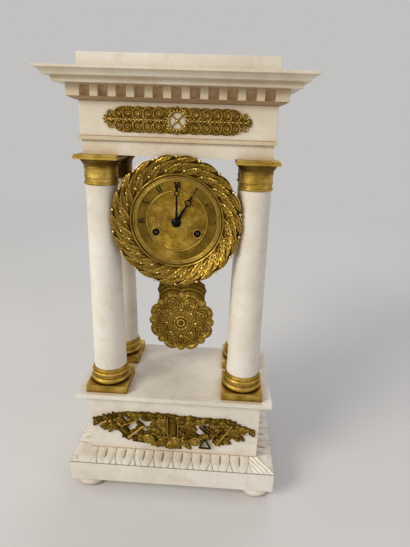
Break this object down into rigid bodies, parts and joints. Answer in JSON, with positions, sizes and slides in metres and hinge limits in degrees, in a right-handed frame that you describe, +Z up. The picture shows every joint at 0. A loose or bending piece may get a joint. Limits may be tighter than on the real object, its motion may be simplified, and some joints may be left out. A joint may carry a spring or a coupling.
{
  "type": "portico clock",
  "caption": "Four-column portico mantel clock in pale marble with gilt bronze mounts, a round drum movement under the entablature and a rosette pendulum swinging between the columns.",
  "frame": {"origin": "on the floor plane, under the middle of the base", "axes": "+X to the right seen from the front, +Y to the back, +Z up"},
  "size_m": [0.2396, 0.147, 0.47],
  "materials": {
    "marble": "honed, slightly waxed",
    "gilt_bronze": "worn gilding, matt in the hollows, burnished on the high parts",
    "brass": "brushed, lightly tarnished",
    "steel": "polished by hand",
    "iron": "black wrought",
    "blued_steel": "blued, nearly black"
  },
  "bodies": {
    "case": {"foot_front_left": "marble", "foot_front_right": "marble", "foot_rear_left": "marble", "foot_rear_right": "marble", "base_slab": "marble", "leaf_moulding": "marble", "plinth_block": "marble", "plinth_cap": "marble", "shaft_front_left": "marble", "shaft_front_right": "marble", "shaft_rear_left": "marble", "shaft_rear_right": "marble", "architrave": "marble", "frieze_block": "marble", "dentil_course": "marble", "cornice": "marble", "attic_block": "marble", "plinth_mount": "gilt_bronze", "column_bases": "gilt_bronze", "capitals": "gilt_bronze", "frieze_mount": "gilt_bronze", "bezel": "gilt_bronze", "dial": "gilt_bronze", "drum_hanger": "brass", "drum_case": "brass", "case_straps": "brass", "front_plate": "brass", "back_plate": "brass", "plate_pillars": "brass", "strike_barrel": "brass", "suspension_cock": "brass", "bell": "brass", "hanger_bolts": "steel", "strap_screws": "steel", "bell_stand": "steel", "bell_nut": "steel", "cover_pin": "steel", "tie_rods": "iron", "tie_rod_nuts": "iron"},
    "minute_hand": {"minute_hand": "blued_steel", "cannon_pinion": "steel"},
    "minute_wheel": {"minute_wheel": "brass"},
    "hour_hand": {"hour_hand": "blued_steel", "hour_wheel": "brass"},
    "third_wheel": {"third_wheel": "brass"},
    "centre_wheel": {"centre_wheel": "brass", "hand_collet": "blued_steel"},
    "second_wheel": {"second_wheel": "brass"},
    "going_barrel": {"going_barrel": "brass"},
    "escape_wheel": {"escape_wheel": "brass"},
    "going_arbor": {"going_arbor": "steel"},
    "strike_arbor": {"strike_arbor": "steel"},
    "pendulum": {"suspension_spring": "steel", "pendulum_rod": "steel", "pendulum_bob": "gilt_bronze", "rating_nut": "brass"},
    "anchor": {"anchor": "steel"},
    "hammer": {"hammer": "steel"},
    "rear_cover": {"rear_cover": "brass"}
  },
  "joints": [
    {"name": "minute_turn", "type": "hinge", "parent": "case", "child": "minute_hand", "pos_m": [0, -0.039, 0.3205], "axis": [0, 1, 0], "continuous": true},
    {"name": "minute_wheel_turn", "type": "hinge", "parent": "case", "child": "minute_wheel", "pos_m": [0, -0.0325, 0.3349], "axis": [0, 1, 0], "continuous": true},
    {"name": "hour_turn", "type": "hinge", "parent": "case", "child": "hour_hand", "pos_m": [0, -0.039, 0.3205], "axis": [0, 1, 0], "continuous": true},
    {"name": "train_turn", "type": "hinge", "parent": "case", "child": "third_wheel", "pos_m": [-0.01092, 0.0015, 0.3357], "axis": [0, 1, 0], "continuous": true},
    {"name": "centre_turn", "type": "hinge", "parent": "case", "child": "centre_wheel", "pos_m": [0, 0.0045, 0.3205], "axis": [0, 1, 0], "continuous": true},
    {"name": "second_turn", "type": "hinge", "parent": "case", "child": "second_wheel", "pos_m": [0.01659, -0.0015, 0.33045], "axis": [0, 1, 0], "continuous": true},
    {"name": "barrel_turn", "type": "hinge", "parent": "case", "child": "going_barrel", "pos_m": [0.021, -0.0045, 0.3089], "axis": [0, 1, 0], "continuous": true},
    {"name": "escape_turn", "type": "hinge", "parent": "case", "child": "escape_wheel", "pos_m": [0, -0.0135, 0.3465], "axis": [0, 1, 0], "continuous": true},
    {"name": "going_wind", "type": "hinge", "parent": "case", "child": "going_arbor", "pos_m": [0.021, -0.039, 0.3089], "axis": [0, 1, 0], "range_deg": [0, 1800]},
    {"name": "strike_wind", "type": "hinge", "parent": "case", "child": "strike_arbor", "pos_m": [-0.021, -0.039, 0.3089], "axis": [0, 1, 0], "range_deg": [-1800, 0]},
    {"name": "pendulum_swing", "type": "hinge", "parent": "case", "child": "pendulum", "pos_m": [0, 0.026, 0.3587], "axis": [0, 1, 0], "range_deg": [-4, 4]},
    {"name": "anchor_rock", "type": "hinge", "parent": "case", "child": "anchor", "pos_m": [0, -0.0135, 0.3587], "axis": [0, 1, 0], "range_deg": [-4, 4]},
    {"name": "hammer_lift", "type": "hinge", "parent": "case", "child": "hammer", "pos_m": [-0.02996, 0.012, 0.29445], "axis": [0, 1, 0], "range_deg": [-8, 2], "stiffness_Nm_per_rad": 0.05},
    {"name": "cover_open", "type": "hinge", "parent": "case", "child": "rear_cover", "pos_m": [-0.0544, 0.047, 0.3205], "axis": [0, 0, 1], "range_deg": [0, 110]}
  ],
  "couplings": [
    {"joint": "minute_wheel_turn", "follows": "minute_turn", "ratio": -0.33333},
    {"joint": "hour_turn", "follows": "minute_turn", "ratio": 0.083333},
    {"joint": "centre_turn", "follows": "train_turn", "ratio": -0.083333},
    {"joint": "second_turn", "follows": "train_turn", "ratio": 0.010965},
    {"joint": "barrel_turn", "follows": "train_turn", "ratio": -0.0014058},
    {"joint": "escape_turn", "follows": "train_turn", "ratio": -11},
    {"joint": "anchor_rock", "follows": "pendulum_swing", "ratio": 1}
  ]
}
